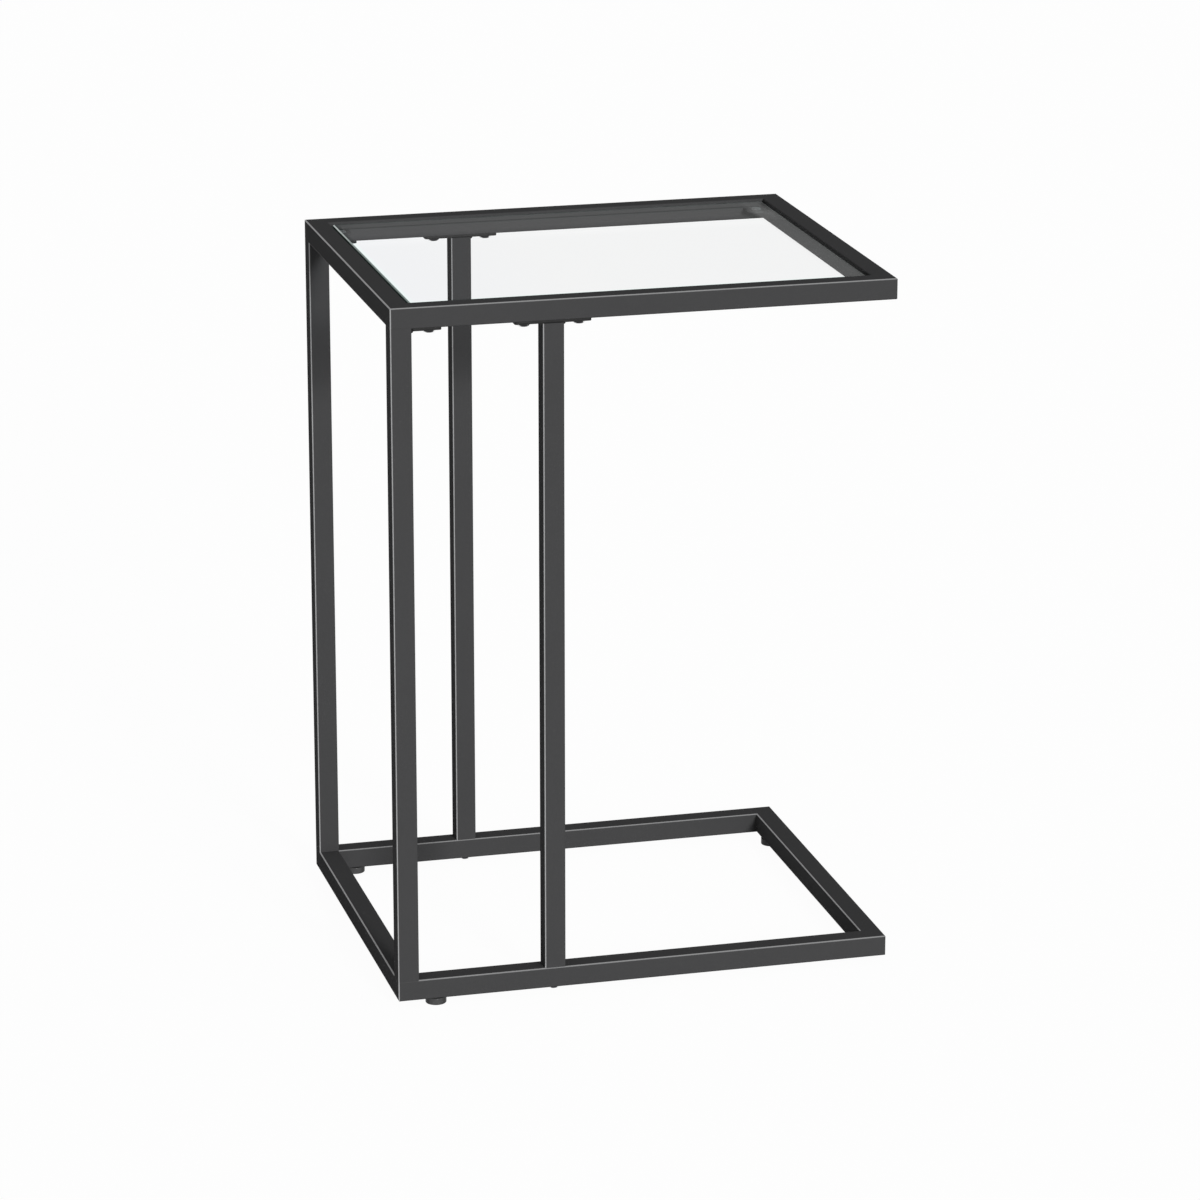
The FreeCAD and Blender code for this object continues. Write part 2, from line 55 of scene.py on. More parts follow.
SCREW_FROM_END = 10 * MM
SCREW_RADIUS = 3 * MM
SCREW_PITCH = 1 * MM
THREAD_ROOT = SCREW_RADIUS - 0.6 * MM
THREAD_DEPTH = 0.55 * MM
THREAD_FLANK = 0.42 * SCREW_PITCH
THREAD_LAND = 0.08 * SCREW_PITCH
THREAD_STEPS = 24
HOLE_CLEARANCE = 0.15 * MM

HEAD_RADIUS = 6 * MM
HEAD_HEIGHT = 3.2 * MM
HEAD_FLAT_RADIUS = 3.9 * MM
HEAD_RIM = 0.7 * MM
HEAD_ARRIS = 0.12 * MM
THREAD_IN_HEAD = 0.5 * MM
SOCKET_ACROSS_FLATS = 4 * MM
SOCKET_DEPTH = 2 * MM

GLASS_CORNER = 3 * MM
GLASS_GROUND_EDGE = 2 * MM

PLATE_CORNER = 2 * MM
PLATE_EDGE = 0.35 * MM
SUPPORT_CUT = 6 * MM
BUMPER_EDGE = 0.9 * MM
BUMPER_SKIRT = 0.2 * MM

FOOT_EDGE = 0.7 * MM
FOOT_TOP_EDGE = 0.5 * MM
FOOT_SOLE_RIM = 2.4 * MM
FOOT_SOLE_HOLLOW = 0.25 * MM
FOOT_TOP_HOLLOW = 0.4 * MM

# shares of the foot's radius
FOOT_SOLE_MIDDLE = 0.55
FOOT_TOP_MOUTH = 0.5
FOOT_TOP_MIDDLE = 0.45

BEAD_RADIUS = 1.9 * MM
BEAD_RIPPLE = 1.1 * MM
BEAD_SIDES = 16
BEAD_CREST = 1.0
BEAD_VALLEY = 0.86
BEAD_END = 0.6

# ---------------------------------------------------------------- zones of the finishes

# how far the seat round the glass, where edges get no painted highlight, reaches beyond the glass
SEAT_MARGIN = 5 * MM

# from the nearest rim of the glass inwards
GLASS_RIM_FULL = 4 * MM
GLASS_RIM_END = 7 * MM

# from the middle of the table to the rear
GLASS_FRONT_END = 80 * MM
GLASS_REAR_START = 115 * MM
PAINTED_LIGHT_REAR_END = 165 * MM

# where the painted light near the right rim starts and is full, from the right rim of the glass
# inwards
PAINTED_LIGHT_START = 27 * MM
PAINTED_LIGHT_FULL = 20 * MM

# the upright share of a face's normal, above which it counts as sheet or as arris
SHEET_UPRIGHTNESS = 0.99
ARRIS_UPRIGHTNESS = 0.7

# ---------------------------------------------------------------- studio

FLOOR_RADIUS = 9.5
FLOOR_SIDES = 96
FLOOR_RIM_WIDTH = 2.4
FLOOR_RIM_HEIGHT = 2.6
FLOOR_WHITENESS = 0.965

ROOM_GREY = 0.34
LIT_POINT = (0, 0, 0.35)
KEY_PLACE = (1.35, -7.9, 3.0)
KEY_POWER = 2.72
KEY_SPREAD = 0.2
STRIP_PLACE = (1.2, -1.4, 5.0)
STRIP_WIDTH = 2.2
STRIP_HEIGHT = 0.5
STRIP_POWER = 14

CAMERA_PLACE = (-1.1158, -4.2709, 1.6626)
CAMERA_YAW = 0.257
CAMERA_PITCH = 0.294
CAMERA_LENS = 142.62
CAMERA_SENSOR = 36


# ---------------------------------------------------------------- bench work


def deselect_all():
    bpy.ops.object.select_all(action="DESELECT")


def pick(piece):
    """Makes one piece the only selected one, and the active one."""
    deselect_all()
    piece.select_set(True)
    bpy.context.view_layer.objects.active = piece


def settle(piece, name=None):
    """Puts the piece's place into its mesh."""
    pick(piece)
    bpy.ops.object.transform_apply(location=True, rotation=True, scale=True)
    if name:
        piece.name = name
        piece.data.name = name
    return piece


def middle_of(node):
    """The X and Y of an upright node's axis."""
    low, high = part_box(node)
    return (low.x + high.x) / 2, (low.y + high.y) / 2


def add_block(name, low, high):
    """A block between two corners, to be shaped further."""
    deselect_all()
    middle = (Vector(low) + Vector(high)) / 2
    size = Vector(high) - Vector(low)
    bpy.ops.mesh.primitive_cube_add(size=1, location=middle, scale=size)
    return settle(bpy.context.active_object, name)


def add_disc(name, x, y, height, radius, sides):
    """A flat disc, to be drawn out further."""
    deselect_all()
    place = (x, y, height)
    bpy.ops.mesh.primitive_circle_add(
        vertices=sides, radius=radius, fill_type="NGON", location=place
    )
    return settle(bpy.context.active_object, name)


def add_rod(x, y, low, high, radius, sides):
    """A plain rod, used as a cutter."""
    deselect_all()
    place = (x, y, (low + high) / 2)
    bpy.ops.mesh.primitive_cylinder_add(
        vertices=sides, radius=radius, depth=high - low, location=place
    )
    return settle(bpy.context.active_object)


def open_mesh(piece, kind):
    """Edit mode with nothing selected."""
    pick(piece)
    bpy.ops.object.mode_set(mode="EDIT")
    bpy.ops.mesh.select_mode(type=kind)
    bpy.ops.mesh.select_all(action="DESELECT")
    return bmesh.from_edit_mesh(piece.data)


def close_mesh():
    bpy.ops.object.mode_set(mode="OBJECT")


def bevel_edges(piece, wanted, width, segments):
    """Rounds or chamfers the edges whose two ends pass the test."""
    mesh = open_mesh(piece, "EDGE")
    for edge in mesh.edges:
        if wanted(edge.verts[0].co, edge.verts[1].co):
            edge.select_set(True)
    bmesh.update_edit_mesh(piece.data)
    bpy.ops.mesh.bevel(offset=width, segments=segments, affect="EDGES")
    close_mesh()


def is_upright(start, end):
    return (start - end).xy.length < SAME_PLACE


def is_rim(level):
    """A test for the edges that lie at one height."""

    def on_level(start, end):
        return abs(start.z - level) < SAME_PLACE and abs(end.z - level) < SAME_PLACE

    return on_level


def fix_normals(piece):
    """Turns every face outwards."""
    open_mesh(piece, "FACE")
    bpy.ops.mesh.select_all(action="SELECT")
    bpy.ops.mesh.normals_make_consistent(inside=False)
    close_mesh()


def extrude_ring(centre, old_radius, new_radius, rise):
    """Extrudes the selected end face and sizes it about its centre."""
    bpy.ops.mesh.extrude_region_move(TRANSFORM_OT_translate={"value": (0, 0, rise)})
    ratio = new_radius / old_radius
    bpy.ops.transform.resize(value=(ratio, ratio, 1), center_override=centre)


def turn_on_lathe(name, x, y, rings, sides=48):
    """A round piece, its end face drawn out ring by ring; rings are (radius, height)."""
    radius, height = rings[0]
    piece = add_disc(name, x, y, height, radius, sides)
    open_mesh(piece, "FACE")
    bpy.ops.mesh.select_all(action="SELECT")
    for next_radius, next_height in rings[1:]:
        extrude_ring((x, y, next_height), radius, next_radius, next_height - height)
        radius, height = next_radius, next_height
    close_mesh()
    fix_normals(piece)
    return piece


def arc_rings(centre_radius, centre_height, across, tall, start, end, steps):
    """Rings along part of an ellipse, angles in degrees from the level outward direction."""
    rings = []
    for step in range(steps + 1):
        angle = math.radians(start + (end - start) * step / steps)
        radius = centre_radius + across * math.cos(angle)
        rings.append((radius, centre_height + tall * math.sin(angle)))
    return rings


def combine(piece, tool, operation):
    """Cuts a tool out of a piece, or welds it on, and clears the tool away."""
    pick(piece)
    modifier = piece.modifiers.new(operation.lower(), "BOOLEAN")
    modifier.operation = operation
    modifier.object = tool
    modifier.solver = "EXACT"
    bpy.ops.object.modifier_apply(modifier=modifier.name)
    bpy.data.objects.remove(tool)


def copy_to(source, name, shift):
    """A copy with its own mesh, moved by a shift."""
    pick(source)
    bpy.ops.object.duplicate(linked=False)
    piece = bpy.context.active_object
    bpy.ops.transform.translate(value=shift)
    return settle(piece, name)


def draw_thread_profile():
    """One turn's profile of the thread, as a chain of edges beside the Z axis."""
    deselect_all()
    bpy.ops.mesh.primitive_plane_add(size=MM, location=(0, 0, 0))
    profile = bpy.context.active_object
    open_mesh(profile, "VERT")
    bpy.ops.mesh.select_all(action="SELECT")
    bpy.ops.mesh.merge(type="CENTER")
    bpy.ops.transform.translate(value=(THREAD_ROOT, 0, 0))
    flank_out = (THREAD_DEPTH, 0, THREAD_FLANK)
    flank_in = (-THREAD_DEPTH, 0, THREAD_FLANK)
    land = (0, 0, THREAD_LAND)
    for step in (flank_out, land, flank_in, land):
        bpy.ops.mesh.extrude_region_move(TRANSFORM_OT_translate={"value": step})
    close_mesh()
    return profile


def cut_thread(name, x, y, low, high):
    """A threaded rod: the profile screwed upwards, then sawn off square at both ends."""
    spare_turns = 4
    start = low - SCREW_PITCH * spare_turns / 2
    rod = draw_thread_profile()
    screw = rod.modifiers.new("thread", "SCREW")
    screw.axis = "Z"
    screw.angle = math.tau
    screw.screw_offset = SCREW_PITCH
    screw.iterations = math.ceil((high - low) / SCREW_PITCH) + spare_turns
    screw.steps = THREAD_STEPS
    screw.render_steps = THREAD_STEPS
    bpy.ops.object.modifier_apply(modifier=screw.name)
    open_mesh(rod, "VERT")
    bpy.ops.mesh.select_all(action="SELECT")
    bpy.ops.mesh.remove_doubles(threshold=0.001 * MM)
    bpy.ops.transform.translate(value=(x, y, start))
    fine = 0.0001 * MM
    for height, side in ((low, {"clear_inner": True}), (high, {"clear_outer": True})):
        bpy.ops.mesh.select_all(action="SELECT")
        plane = {"plane_co": (x, y, height), "plane_no": (0, 0, 1)}
        bpy.ops.mesh.bisect(**plane, use_fill=True, threshold=fine, **side)
    close_mesh()
    settle(rod, name)
    fix_normals(rod)
    return rod


def finish_piece(piece, body, coats, stands_for=(), crease=35):
    """Smooths a piece up to a crease in degrees, coats it and hands it to its body."""
    pick(piece)
    bpy.ops.object.shade_smooth_by_angle(angle=math.radians(crease))
    piece.data.materials.clear()
    for coat in coats:
        piece.data.materials.append(coat)
    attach(piece, body)
    if stands_for:
        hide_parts(*stands_for)


# ---------------------------------------------------------------- finishes


class Coat:
    """A node material, its nodes added one by one."""

    # the Mix node's sockets for colours
    FIRST_COLOUR = 6
    SECOND_COLOUR = 7
    MIXED_COLOUR = 2

    # where nearly all of a noise's values lie
    NOISE_LOW = 0.3
    NOISE_HIGH = 0.7

    def __init__(self, name):
        self.material = bpy.data.materials.new(name)
        self.material.use_nodes = True
        self.tree = self.material.node_tree
        self.tree.nodes.clear()
        self.output = self.add("OutputMaterial")

    def add(self, kind, **sockets):
        """Adds a node; an underscore in a socket's name stands for a space."""
        node = self.tree.nodes.new("ShaderNode" + kind)
        for label, value in sockets.items():
            self.feed(node.inputs[label.replace("_", " ")], value)
        return node

    def feed(self, socket, value):
        """Gives a socket a plain value, or joins another node's output to it."""
        if isinstance(value, bpy.types.NodeSocket):
            self.tree.links.new(value, socket)
        else:
            socket.default_value = value

    def object_place(self):
        return self.add("TexCoord").outputs["Object"]

    def object_normal(self):
        return self.add("TexCoord").outputs["Normal"]

    def facing(self):
        """0 where a surface is seen square on, rising to 1 at a glancing view."""
        return self.add("LayerWeight", Blend=0.5).outputs["Facing"]

    def noise(self, scale, detail=2.0, roughness=0.5):
        node = self.add("TexNoise", Scale=scale, Detail=detail, Roughness=roughness)
        self.feed(node.inputs["Vector"], self.object_place())
        return node.outputs["Fac"]

    def remap(self, value, from_low, from_high, to_low, to_high):
        node = self.add("MapRange", Value=value)
        node.inputs["From Min"].default_value = from_low
        node.inputs["From Max"].default_value = from_high
        node.inputs["To Min"].default_value = to_low
        node.inputs["To Max"].default_value = to_high
        return node.outputs["Result"]

    def vary(self, noise, low, high):
        """Spreads a noise's usual span over a range of values."""
        return self.remap(noise, self.NOISE_LOW, self.NOISE_HIGH, low, high)

    def specks(self, grain, share):
        """A share that rises only at a noise's peaks."""
        return self.remap(grain, 0.4, 0.75, 0, share)

    def math(self, operation, first, second=0.0):
        node = self.add("Math")
        node.operation = operation
        self.feed(node.inputs[0], first)
        self.feed(node.inputs[1], second)
        return node.outputs[0]

    def blend(self, share, first, second):
        """Mixes two colours; a plain colour is a red, green and blue."""
        node = self.add("Mix")
        node.data_type = "RGBA"
        self.feed(node.inputs["Factor"], share)
        for index, colour in ((self.FIRST_COLOUR, first), (self.SECOND_COLOUR, second)):
            if isinstance(colour, tuple):
                colour = (*colour, 1)
            self.feed(node.inputs[index], colour)
        return node.outputs[self.MIXED_COLOUR]

    def bump(self, height, strength, distance):
        node = self.add("Bump", Height=height, Strength=strength, Distance=distance)
        return node.outputs["Normal"]

    def mix_shaders(self, share, first, second):
        """The first shader where the share is 0, the second where it is 1."""
        node = self.add("MixShader", Fac=share)
        self.feed(node.inputs[1], first.outputs[0])
        self.feed(node.inputs[2], second.outputs[0])
        return node

    def show(self, shader):
        """Makes a shader the material's surface."""
        self.feed(self.output.inputs["Surface"], shader.outputs[0])
        return self.material

    def outside_only(self, share):
        """Lets a share act only where a surface is met from outside."""
        inside = self.add("NewGeometry").outputs["Backfacing"]
        return self.math("MULTIPLY", share, self.math("SUBTRACT", 1.0, inside))

    def rounded(self):
        """Near 1 on rounded edges and 0 on the flats that face along an axis."""
        split = self.add("SeparateXYZ", Vector=self.object_normal())
        sizes = [self.math("ABSOLUTE", split.outputs[axis]) for axis in "XYZ"]
        largest = self.math("MAXIMUM", self.math("MAXIMUM", sizes[0], sizes[1]), sizes[2])
        return self.remap(largest, 0.98, 0.91, 0, 1)

    def painted_edge_highlight(self):
        """Near 1 on the rounded edges that face left, forward or up: where the painted edge
        highlight goes.
        """
        node = self.add("VectorMath")
        node.operation = "DOT_PRODUCT"
        self.feed(node.inputs[0], self.object_normal())
        node.inputs[1].default_value = (-0.8, -0.25, 0.5)
        side = self.remap(node.outputs["Value"], 0.32, 0.75, 0, 1)
        # painted edge highlight: rounded edges turned towards the left, the front and the top
        highlit_edges = self.math("MULTIPLY", self.rounded(), side)
        return self.math("MULTIPLY", highlit_edges, self.math("SUBTRACT", 1.0, self.round_glass()))

    def round_glass(self):
        """1 in the seat round the glass, where the painted edge highlight is left out, 0
        elsewhere.
        """
        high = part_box("glass_top")[1]
        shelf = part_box("glass_support_front_left")[0].z
        split = self.add("SeparateXYZ", Vector=self.object_place())
        inside = self.math("GREATER_THAN", split.outputs["Z"], shelf - MM)
        for axis, reach in (("X", high.x + SEAT_MARGIN), ("Y", high.y + SEAT_MARGIN)):
            near = self.math("LESS_THAN", self.math("ABSOLUTE", split.outputs[axis]), reach)
            inside = self.math("MULTIPLY", inside, near)
        return inside


def make_powder_coat():
    """Fine-textured satin black: matt flats; a painted highlight makes the rounded edges that
    face left, forward or up paler, and a thin coat makes them shinier.
    """
    coat = Coat("satin_black_powder_coat")
    grain = coat.noise(1500, 3, 0.6)
    drift = coat.noise(14, 3)
    # the mask of the painted edge highlight: the base colour is painted pale there
    edge = coat.painted_edge_highlight()
    flat = coat.blend(drift, (0.049, 0.049, 0.050), (0.054, 0.054, 0.055))
    speckled = coat.blend(coat.specks(grain, 0.12), flat, (0.085, 0.085, 0.088))
    shader = coat.add(
        "BsdfPrincipled",
        Base_Color=coat.blend(edge, speckled, (0.45, 0.45, 0.455)),
        Roughness=coat.vary(drift, 0.56, 0.66),
        Specular_IOR_Level=0.0,
        Coat_Weight=coat.remap(edge, 0, 1, 0, 0.2),
        Coat_Roughness=0.25,
        Normal=coat.bump(grain, 0.2, 0.08 * MM),
    )
    return coat.show(shader)


def make_plate_black():
    """Thin dull black of the joining plates and tabs."""
    coat = Coat("dull_black_plate")
    grain = coat.noise(1200, 3, 0.6)
    drift = coat.noise(60, 3)
    flat = coat.blend(drift, (0.010, 0.010, 0.010), (0.016, 0.016, 0.016))
    shader = coat.add(
        "BsdfPrincipled",
        Base_Color=coat.blend(coat.specks(grain, 0.1), flat, (0.05, 0.05, 0.052)),
        Roughness=coat.vary(drift, 0.5, 0.62),
        Specular_IOR_Level=0.15,
        Normal=coat.bump(grain, 0.2, 0.06 * MM),
    )
    return coat.show(shader)


def make_black_oxide():
    """Glossy oiled black of the screw heads, with a painted glint on each curving side and a
    painted reflection along the glancing rim, where the head turns pale and metallic.
    """
    coat = Coat("oiled_black_oxide")
    smear = coat.noise(420, 3)
    slant = coat.facing()
    rising = coat.remap(slant, 0.3, 0.42, 0, 1)
    falling = coat.remap(slant, 0.72, 0.86, 1, 0)
    split = coat.add("SeparateXYZ", Vector=coat.object_normal())
    sideways = coat.remap(coat.math("ABSOLUTE", split.outputs["X"]), 0.36, 0.5, 0, 1)
    # painted glints and reflection: pale, metallic bands set by the view angle and the sideways
    # normal, and at the glancing rim
    painted_glint = coat.math("MULTIPLY", coat.math("MULTIPLY", rising, falling), sideways)
    painted_mirror = coat.math("MAXIMUM", painted_glint, coat.remap(slant, 0.8, 0.95, 0, 0.75))
    dark = coat.blend(smear, (0.006, 0.006, 0.007), (0.016, 0.016, 0.018))
    shader = coat.add(
        "BsdfPrincipled",
        Base_Color=coat.blend(painted_mirror, dark, (0.85, 0.85, 0.85)),
        Roughness=coat.vary(smear, 0.1, 0.2),
        Metallic=painted_mirror,
        Specular_IOR_Level=0.3,
        Normal=coat.bump(smear, 0.08, 0.1 * MM),
    )
    return coat.show(shader)


def make_zinc():
    """Bright zinc plating with a soft spangle."""
    coat = Coat("zinc_plating")
    spangle = coat.noise(260, 4, 0.65)
    shader = coat.add(
        "BsdfPrincipled",
        Base_Color=coat.blend(spangle, (0.50, 0.51, 0.53), (0.72, 0.73, 0.75)),
        Roughness=coat.vary(spangle, 0.26, 0.42),
        Metallic=1,
        Normal=coat.bump(spangle, 0.1, 0.1 * MM),
    )
    return coat.show(shader)


def make_foot_plastic():
    """Glossy black moulding with a faint flow texture; painted shade darkens it where it curves
    away from view, leaving a painted sheen face on.
    """
    coat = Coat("glossy_black_moulding")
    flow = coat.noise(300, 3)
    # painted shade: darker where the surface is seen at a glancing angle
    painted_shade_away = coat.remap(coat.facing(), 0.15, 0.55, 0, 1)
    painted_sheen = coat.blend(flow, (0.040, 0.040, 0.041), (0.075, 0.075, 0.076))
    shader = coat.add(
        "BsdfPrincipled",
        Base_Color=coat.blend(painted_shade_away, painted_sheen, (0.008, 0.008, 0.008)),
        Roughness=coat.vary(flow, 0.16, 0.26),
        Specular_IOR_Level=0.15,
        Normal=coat.bump(flow, 0.08, 0.1 * MM),
    )
    return coat.show(shader)


def make_bumper():
    """Clear soft plastic, a little milky."""
    coat = Coat("clear_soft_plastic")
    cloud = coat.noise(500, 2)
    milky = coat.add(
        "BsdfPrincipled",
        Base_Color=coat.blend(cloud, (0.34, 0.35, 0.36), (0.44, 0.45, 0.46)),
        Roughness=coat.vary(cloud, 0.35, 0.5),
        Specular_IOR_Level=0.0,
    )
    clear = coat.add("BsdfTransparent", Color=(0.9, 0.9, 0.9, 1))
    return coat.show(coat.mix_shaders(coat.vary(cloud, 0.2, 0.3), clear, milky))


def glass_zones(coat):
    """Shares that are 1 in one part of the glass and fade to 0 outside it."""
    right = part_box("glass_top")[1].x
    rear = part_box("glass_top")[1].y
    split = coat.add("SeparateXYZ", Vector=coat.object_place())
    across = split.outputs["X"]
    depth = split.outputs["Y"]
    from_side = coat.math("SUBTRACT", right, coat.math("ABSOLUTE", across))
    from_end = coat.math("SUBTRACT", rear, coat.math("ABSOLUTE", depth))
    inward = coat.math("MINIMUM", from_side, from_end)
    return {
        "rim": coat.remap(inward, GLASS_RIM_FULL, GLASS_RIM_END, 1, 0),
        "rear": coat.remap(depth, GLASS_FRONT_END, GLASS_REAR_START, 0, 1),
        "far rear": coat.remap(depth, GLASS_REAR_START, PAINTED_LIGHT_REAR_END, 0, 1),
        "left": coat.remap(across, -right, -0.25 * right, 1, 0),
        "right": coat.remap(across, right - PAINTED_LIGHT_START, right - PAINTED_LIGHT_FULL, 0, 1),
    }


def tint_glass(coat, film, zones):
    """The colour of the clear glass: cool at the left, green at the rim, deeper in front."""
    rear = coat.blend(film, (0.996, 0.998, 0.998), (0.993, 0.996, 0.996))
    rear = coat.blend(zones["left"], rear, (0.985, 0.989, 0.998))
    front = coat.blend(film, (0.965, 0.967, 0.967), (0.962, 0.965, 0.965))
    front = coat.blend(zones["left"], front, (0.954, 0.958, 0.967))
    tint = coat.blend(zones["rear"], front, rear)
    return coat.blend(zones["rim"], tint, (0.927, 0.994, 0.98))


def veil_share(coat, zones):
    """How much the glass mirrors: more when seen low, less at the rim and in front."""
    fresnel = coat.add("Fresnel", IOR=1.5).outputs[0]
    share = coat.math("MULTIPLY_ADD", fresnel, 0.36)
    share.node.inputs[2].default_value = 0.02
    share = coat.math("MULTIPLY", share, coat.remap(zones["rim"], 0, 1, 1, 0.4))
    return coat.math("MULTIPLY", share, coat.remap(zones["rear"], 0, 1, 0.25, 1))


def painted_light_share(coat, zones):
    """Painted light near the right rim: a pale diffuse layer there only when seen low, and weaker
    at the rear.
    """
    low_sight = coat.remap(coat.facing(), 0.5, 0.72, 0, 1)
    share = coat.math("MULTIPLY", low_sight, coat.remap(zones["right"], 0, 1, 0, 0.13))
    return coat.math("MULTIPLY", share, coat.remap(zones["far rear"], 0, 1, 1, 0.2))


def make_glass_sheet():
    """Clear float glass: clear seen from above, a soft veil of reflection seen low, and painted
    light near the right rim.
    """
    coat = Coat("clear_float_glass")
    film = coat.noise(35, 3)
    zones = glass_zones(coat)
    clear = coat.add("BsdfTransparent", Color=tint_glass(coat, film, zones))
    gloss_rough = coat.vary(film, 0.01, 0.03)
    gloss = coat.add("BsdfAnisotropic", Color=(1, 1, 1, 1), Roughness=gloss_rough)
    # painted light: a pale diffuse layer mixed in near the right rim
    painted_light = coat.add("BsdfDiffuse", Color=(0.88, 0.89, 0.89, 1))
    veiled = coat.mix_shaders(coat.outside_only(veil_share(coat, zones)), clear, gloss)
    with_painted_light = coat.mix_shaders(coat.outside_only(painted_light_share(coat, zones)), veiled, painted_light)
    return coat.show(with_painted_light)


def make_ground_edge():
    """Frosted grey green of the ground arris, with painted light: grey on the right, paler at the
    left front and palest at the left rear.
    """
    coat = Coat("ground_glass_arris")
    frost = coat.noise(700, 3)
    split = coat.add("SeparateXYZ", Vector=coat.object_place())
    # painted light: the arris is painted paler towards the left and towards the rear
    painted_light_left = coat.remap(split.outputs["X"], 100 * MM, -100 * MM, 0, 1)
    painted_light_rear = coat.remap(split.outputs["Y"], 40 * MM, 150 * MM, 0, 1)
    grey = coat.blend(frost, (0.095, 0.098, 0.097), (0.125, 0.128, 0.127))
    front = coat.blend(frost, (0.23, 0.30, 0.28), (0.32, 0.40, 0.38))
    rear = coat.blend(frost, (0.70, 0.78, 0.76), (0.87, 0.94, 0.92))
    frosted = coat.add(
        "BsdfPrincipled",
        Base_Color=coat.blend(painted_light_left, grey, coat.blend(painted_light_rear, front, rear)),
        Roughness=coat.vary(frost, 0.4, 0.55),
        Specular_IOR_Level=0.1,
        Normal=coat.bump(frost, 0.15, 0.08 * MM),
    )
    clear = coat.add("BsdfTransparent", Color=(0.975, 0.99, 0.985, 1))
    solid = coat.outside_only(coat.vary(frost, 0.97, 1.0))
    return coat.show(coat.mix_shaders(solid, clear, frosted))


def make_green_edge():
    """Bottle green of the glass's side; light passes through the right and rear sides."""
    coat = Coat("green_glass_side")
    depth = coat.noise(160, 2)
    green = coat.add(
        "BsdfPrincipled",
        Base_Color=coat.blend(depth, (0.012, 0.034, 0.028), (0.022, 0.050, 0.042)),
        Roughness=coat.vary(depth, 0.3, 0.45),
        Specular_IOR_Level=0.1,
    )
    clear = coat.add("BsdfTransparent", Color=(0.97, 0.985, 0.98, 1))
    split = coat.add("SeparateXYZ", Vector=coat.object_normal())
    far_side = coat.math("MAXIMUM", split.outputs["X"], split.outputs["Y"])
    near_side = coat.remap(far_side, 0.5, 0.9, 1, 0.15)
    solid = coat.math("MULTIPLY", coat.vary(depth, 0.985, 1.0), near_side)
    return coat.show(coat.mix_shaders(coat.outside_only(solid), clear, green))


# ---------------------------------------------------------------- pieces of the table


def make_glass_panel(sheet, ground, side):
    """The glass top: corners rounded, all arrises ground."""
    low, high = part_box("glass_top")
    panel = add_block("glass_panel", low, high)
    bevel_edges(panel, is_upright, GLASS_CORNER, 8)
    for level in (low.z, high.z):
        bevel_edges(panel, is_rim(level), GLASS_GROUND_EDGE, 2)
    finish_piece(panel, "glass", [sheet, ground, side], ["glass_top"], crease=15)
    for face in panel.data.polygons:
        uprightness = abs(face.normal.z)
        if uprightness > SHEET_UPRIGHTNESS:
            face.material_index = 0
        elif uprightness > ARRIS_UPRIGHTNESS:
            face.material_index = 1
        else:
            face.material_index = 2


def make_drilled_plate(name, node, holes, coat):
    """A flat joining plate with softened edges, drilled for its screws."""
    low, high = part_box(node)
    plate = add_block(name, low, high)
    bevel_edges(plate, is_upright, PLATE_CORNER, 5)
    for level in (low.z, high.z):
        bevel_edges(plate, is_rim(level), PLATE_EDGE, 2)
    middle = (low.y + high.y) / 2
    radius = SCREW_RADIUS + HOLE_CLEARANCE
    for x in holes:
        drill = add_rod(x, middle, low.z - MM, high.z + MM, radius, 32)
        combine(plate, drill, "DIFFERENCE")
    finish_piece(plate, "frame", [coat], [node])


def make_joining_plates(coat):
    """A plate with two holes on each centre post, a tab with one on each corner post."""
    for end in ENDS:
        low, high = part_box("centre_plate_" + end)
        holes = (low.x + SCREW_FROM_END, high.x - SCREW_FROM_END)
        make_drilled_plate("joining_plate_" + end, "centre_plate_" + end, holes, coat)
        tab_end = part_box("corner_tab_" + end)[1].x
        holes = (tab_end - SCREW_FROM_END,)
        make_drilled_plate("joining_tab_" + end, "corner_tab_" + end, holes, coat)


def make_button_screw(name, x, y, bearing, reach, coat, nodes):
    """A button-head screw, its head hanging below the face that it bears on."""
    across = HEAD_RADIUS - HEAD_FLAT_RADIUS
    tall = HEAD_HEIGHT - HEAD_RIM
    rings = [(HEAD_RADIUS - HEAD_ARRIS, bearing), (HEAD_RADIUS, bearing - HEAD_ARRIS)]
    rings += arc_rings(HEAD_FLAT_RADIUS, bearing - HEAD_RIM, across, tall, 0, -90, 12)
    head = turn_on_lathe(name, x, y, rings)
    corner_radius = SOCKET_ACROSS_FLATS / math.sqrt(3)
    end = bearing - HEAD_HEIGHT
    socket = add_rod(x, y, end - MM, end + SOCKET_DEPTH, corner_radius, 6)
    combine(head, socket, "DIFFERENCE")
    thread = cut_thread(name + "_thread", x, y, bearing - THREAD_IN_HEAD, bearing + reach)
    combine(head, thread, "UNION")
    finish_piece(head, "frame", [coat], nodes)
    return head


def make_top_screws(coat):
    """Six screws up into the top frame, the first one made and the others copied."""
    first = None
    for end in ENDS:
        low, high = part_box("centre_plate_" + end)
        y = (low.y + high.y) / 2
        places = {
            "corner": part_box("corner_tab_" + end)[1].x - SCREW_FROM_END,
            "left": low.x + SCREW_FROM_END,
            "right": high.x - SCREW_FROM_END,
        }
        for label, x in places.items():
            name = "top_screw_%s_%s" % (end, label)
            if first is None:
                first_x, first_y = x, y
                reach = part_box("top_bolts")[1].z - low.z
                first = make_button_screw(name, x, y, low.z, reach, coat, ["top_bolts"])
                continue
            screw = copy_to(first, name, (x - first_x, y - first_y, 0))
            finish_piece(screw, "frame", [coat], ["top_bolts"])


